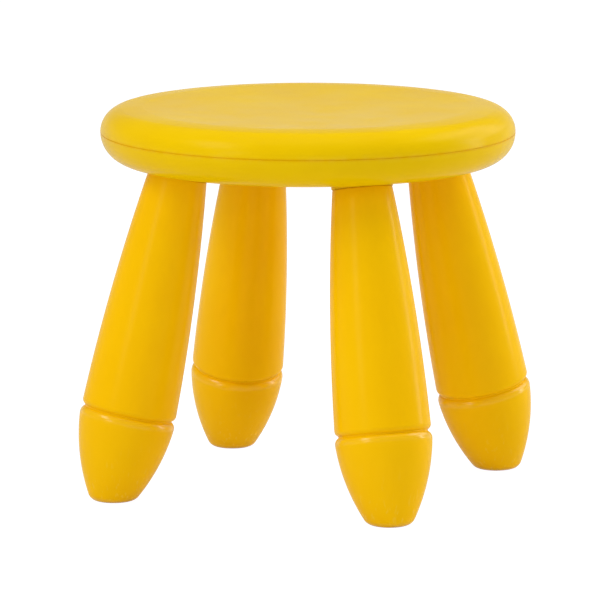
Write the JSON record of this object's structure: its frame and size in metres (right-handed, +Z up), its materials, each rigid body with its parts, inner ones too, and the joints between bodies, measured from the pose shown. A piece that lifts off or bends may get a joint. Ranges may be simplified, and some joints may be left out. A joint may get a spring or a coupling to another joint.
{
  "type": "stool",
  "caption": "Low round stool: thick round-edged seat on splayed, bowed legs of revolution that twist-lock into it, each ending in a rounded foot cap.",
  "frame": {"origin": "on the floor, under the middle of the seat", "axes": "+Z up through the seat's middle; -Y towards the front, between the two front legs; +X to the right"},
  "size_m": [0.302, 0.302, 0.28],
  "materials": {
    "seat_shell": "satin moulded polypropylene, yellow",
    "leg_shell": "satin moulded polypropylene, yellow",
    "foot_cap": "satin moulded polypropylene, yellow",
    "screw_steel": "zinc-plated steel"
  },
  "bodies": {
    "seat": {"seat_top": "seat_shell", "seat_base": "seat_shell", "seat_screws": "screw_steel"},
    "front_right_leg": {"leg_front_right": "leg_shell", "foot_front_right": "foot_cap"},
    "rear_right_leg": {"leg_rear_right": "leg_shell", "foot_rear_right": "foot_cap"},
    "rear_left_leg": {"leg_rear_left": "leg_shell", "foot_rear_left": "foot_cap"},
    "front_left_leg": {"leg_front_left": "leg_shell", "foot_front_left": "foot_cap"}
  },
  "joints": [
    {"name": "front_right_leg_twist", "type": "hinge", "parent": "seat", "child": "front_right_leg", "pos_m": [0.07184, -0.07184, 0.234], "axis": [-0.1567, 0.1567, 0.9751], "range_deg": [-60, 0]},
    {"name": "rear_right_leg_twist", "type": "hinge", "parent": "seat", "child": "rear_right_leg", "pos_m": [0.07184, 0.07184, 0.234], "axis": [-0.1567, -0.1567, 0.9751], "range_deg": [-60, 0]},
    {"name": "rear_left_leg_twist", "type": "hinge", "parent": "seat", "child": "rear_left_leg", "pos_m": [-0.07184, 0.07184, 0.234], "axis": [0.1567, -0.1567, 0.9751], "range_deg": [-60, 0]},
    {"name": "front_left_leg_twist", "type": "hinge", "parent": "seat", "child": "front_left_leg", "pos_m": [-0.07184, -0.07184, 0.234], "axis": [0.1567, 0.1567, 0.9751], "range_deg": [-60, 0]}
  ]
}
